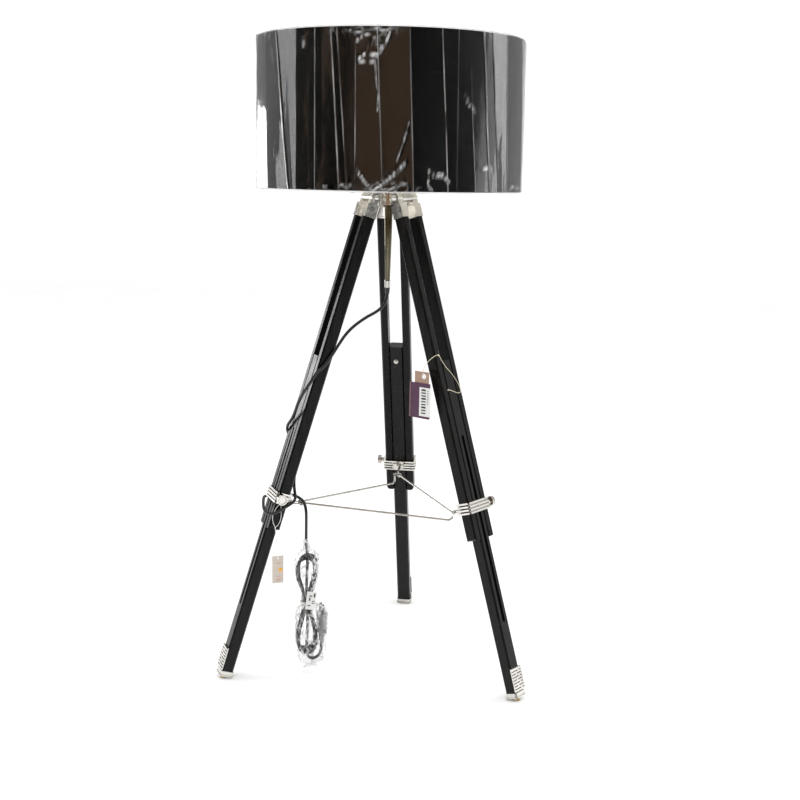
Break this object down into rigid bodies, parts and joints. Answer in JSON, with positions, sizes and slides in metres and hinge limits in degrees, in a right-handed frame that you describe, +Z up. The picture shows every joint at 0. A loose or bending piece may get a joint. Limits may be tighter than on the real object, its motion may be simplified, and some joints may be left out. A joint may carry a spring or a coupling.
{
  "type": "tripod floor lamp",
  "caption": "Floor lamp on a folding black wooden tripod with telescoping legs, chrome clamps and spreader rods, and a black drum shade on a harp.",
  "frame": {"origin": "centre of the lamp's bounding box, on the floor", "axes": "+Z up, +Y from the front towards the back leg, +X to the right as seen from the front"},
  "size_m": [0.6158, 0.6028, 1.2432],
  "materials": {
    "chrome_hub": "polished",
    "wire_steel": "polished wire",
    "black_wood": "black satin lacquer on wood",
    "brass_glide": "worn",
    "lamp_glass": "frosted",
    "shade_card": "black, silver lining",
    "film": "clear shipping film",
    "black_cord": "PVC jacket",
    "socket_plastic": "moulded",
    "plug_grey": "moulded grey",
    "tag_card": "printed card",
    "care_card": "printed paper"
  },
  "bodies": {
    "base": {"hub": "chrome_hub", "hinge_bolts": "chrome_hub", "hinge_nuts": "chrome_hub", "stem": "chrome_hub", "stem_ferrule": "chrome_hub", "cord_grommet": "black_cord", "neck_nipple": "wire_steel", "neck_spacer": "chrome_hub", "harp_saddle": "chrome_hub", "harp": "wire_steel", "finial": "chrome_hub", "socket_cap": "chrome_hub", "socket_shell": "socket_plastic", "bulb_glass": "lamp_glass", "bulb_base": "wire_steel", "cord_riser": "black_cord", "cord_drape": "black_cord"},
    "shade": {"shade_drum": "shade_card", "shade_top_frame": "wire_steel", "shade_bottom_ring": "wire_steel", "shade_film": "film"},
    "switch": {"switch_knob": "socket_plastic"},
    "right_leg": {"rails_right": "black_wood", "ferrules_right": "chrome_hub", "clamp_right": "chrome_hub", "eye_right": "wire_steel", "price_tag": "tag_card"},
    "right_lower": {"lower_leg_right": "black_wood", "stop_screw_right": "chrome_hub", "foot_cap_right": "chrome_hub", "foot_plate_right": "chrome_hub", "glide_right": "brass_glide"},
    "right_thumbscrew": {"thumbscrew_right": "chrome_hub"},
    "back_leg": {"rails_back": "black_wood", "ferrules_back": "chrome_hub", "clamp_back": "chrome_hub", "eye_back": "wire_steel"},
    "back_lower": {"lower_leg_back": "black_wood", "stop_screw_back": "chrome_hub", "foot_cap_back": "chrome_hub", "foot_plate_back": "chrome_hub", "glide_back": "brass_glide"},
    "back_thumbscrew": {"thumbscrew_back": "chrome_hub"},
    "left_leg": {"rails_left": "black_wood", "ferrules_left": "chrome_hub", "clamp_left": "chrome_hub", "eye_left": "wire_steel", "cord_wrap": "black_cord", "cord_hank": "black_cord", "plug": "plug_grey", "care_tag": "care_card"},
    "left_lower": {"lower_leg_left": "black_wood", "stop_screw_left": "chrome_hub", "foot_cap_left": "chrome_hub", "foot_plate_left": "chrome_hub", "glide_left": "brass_glide"},
    "left_thumbscrew": {"thumbscrew_left": "chrome_hub"},
    "rod_left_right": {"rod_left_right": "wire_steel"},
    "rod_left_back": {"rod_left_back": "wire_steel"},
    "rod_back_right": {"rod_back_right": "wire_steel"}
  },
  "joints": [
    {"name": "switch_turn", "type": "hinge", "parent": "base", "child": "switch", "pos_m": [0, -0.07122, 1.0242], "axis": [0, -1, 0], "continuous": true},
    {"name": "shade_turn", "type": "hinge", "parent": "base", "child": "shade", "pos_m": [0, -0.04622, 1.2211], "axis": [0, 0, 1], "continuous": true},
    {"name": "right_fold", "type": "hinge", "parent": "base", "child": "right_leg", "pos_m": [0.03291, -0.06522, 0.945], "axis": [0.5, 0.866, 0], "range_deg": [0, 12]},
    {"name": "right_extend", "type": "slide", "parent": "right_leg", "child": "right_lower", "axis": [0.2604, -0.1504, -0.9537], "range_m": [-0.225, 0.13]},
    {"name": "right_clamp_turn", "type": "hinge", "parent": "right_leg", "child": "right_thumbscrew", "pos_m": [0.22087, -0.12178, 0.36564], "axis": [0.5, 0.866, 0], "range_deg": [0, 360]},
    {"name": "back_fold", "type": "hinge", "parent": "base", "child": "back_leg", "pos_m": [0, -0.00822, 0.945], "axis": [-1, 0, 0], "range_deg": [0, 12]},
    {"name": "back_extend", "type": "slide", "parent": "back_leg", "child": "back_lower", "axis": [0, 0.3007, -0.9537], "range_m": [-0.225, 0.13]},
    {"name": "back_clamp_turn", "type": "hinge", "parent": "back_leg", "child": "back_thumbscrew", "pos_m": [-0.045, 0.18284, 0.36564], "axis": [-1, 0, 0], "range_deg": [0, 360]},
    {"name": "left_fold", "type": "hinge", "parent": "base", "child": "left_leg", "pos_m": [-0.03291, -0.06522, 0.945], "axis": [0.5, -0.866, 0], "range_deg": [0, 12], "deforming": ["cord_drape"]},
    {"name": "left_extend", "type": "slide", "parent": "left_leg", "child": "left_lower", "axis": [-0.2604, -0.1504, -0.9537], "range_m": [-0.225, 0.13]},
    {"name": "left_clamp_turn", "type": "hinge", "parent": "left_leg", "child": "left_thumbscrew", "pos_m": [-0.17587, -0.19972, 0.36564], "axis": [0.5, -0.866, 0], "range_deg": [0, 360]},
    {"name": "rod_left_right_swing", "type": "hinge", "parent": "left_leg", "child": "rod_left_right", "pos_m": [-0.15096, -0.13829, 0.34518], "axis": [0, 1, 0], "range_deg": [0, 60]},
    {"name": "rod_left_back_swing", "type": "hinge", "parent": "left_leg", "child": "rod_left_back", "pos_m": [-0.15521, -0.13093, 0.34518], "axis": [-0.866, 0.5, 0], "range_deg": [0, 60]},
    {"name": "rod_back_right_swing", "type": "hinge", "parent": "back_leg", "child": "rod_back_right", "pos_m": [0.00425, 0.13055, 0.34518], "axis": [0.866, 0.5, 0], "range_deg": [0, 48]}
  ],
  "couplings": [
    {"joint": "back_fold", "follows": "right_fold", "ratio": 1},
    {"joint": "left_fold", "follows": "right_fold", "ratio": 1},
    {"joint": "rod_left_right_swing", "follows": "right_fold", "ratio": 5},
    {"joint": "rod_left_back_swing", "follows": "right_fold", "ratio": 5},
    {"joint": "rod_back_right_swing", "follows": "right_fold", "ratio": 4}
  ]
}
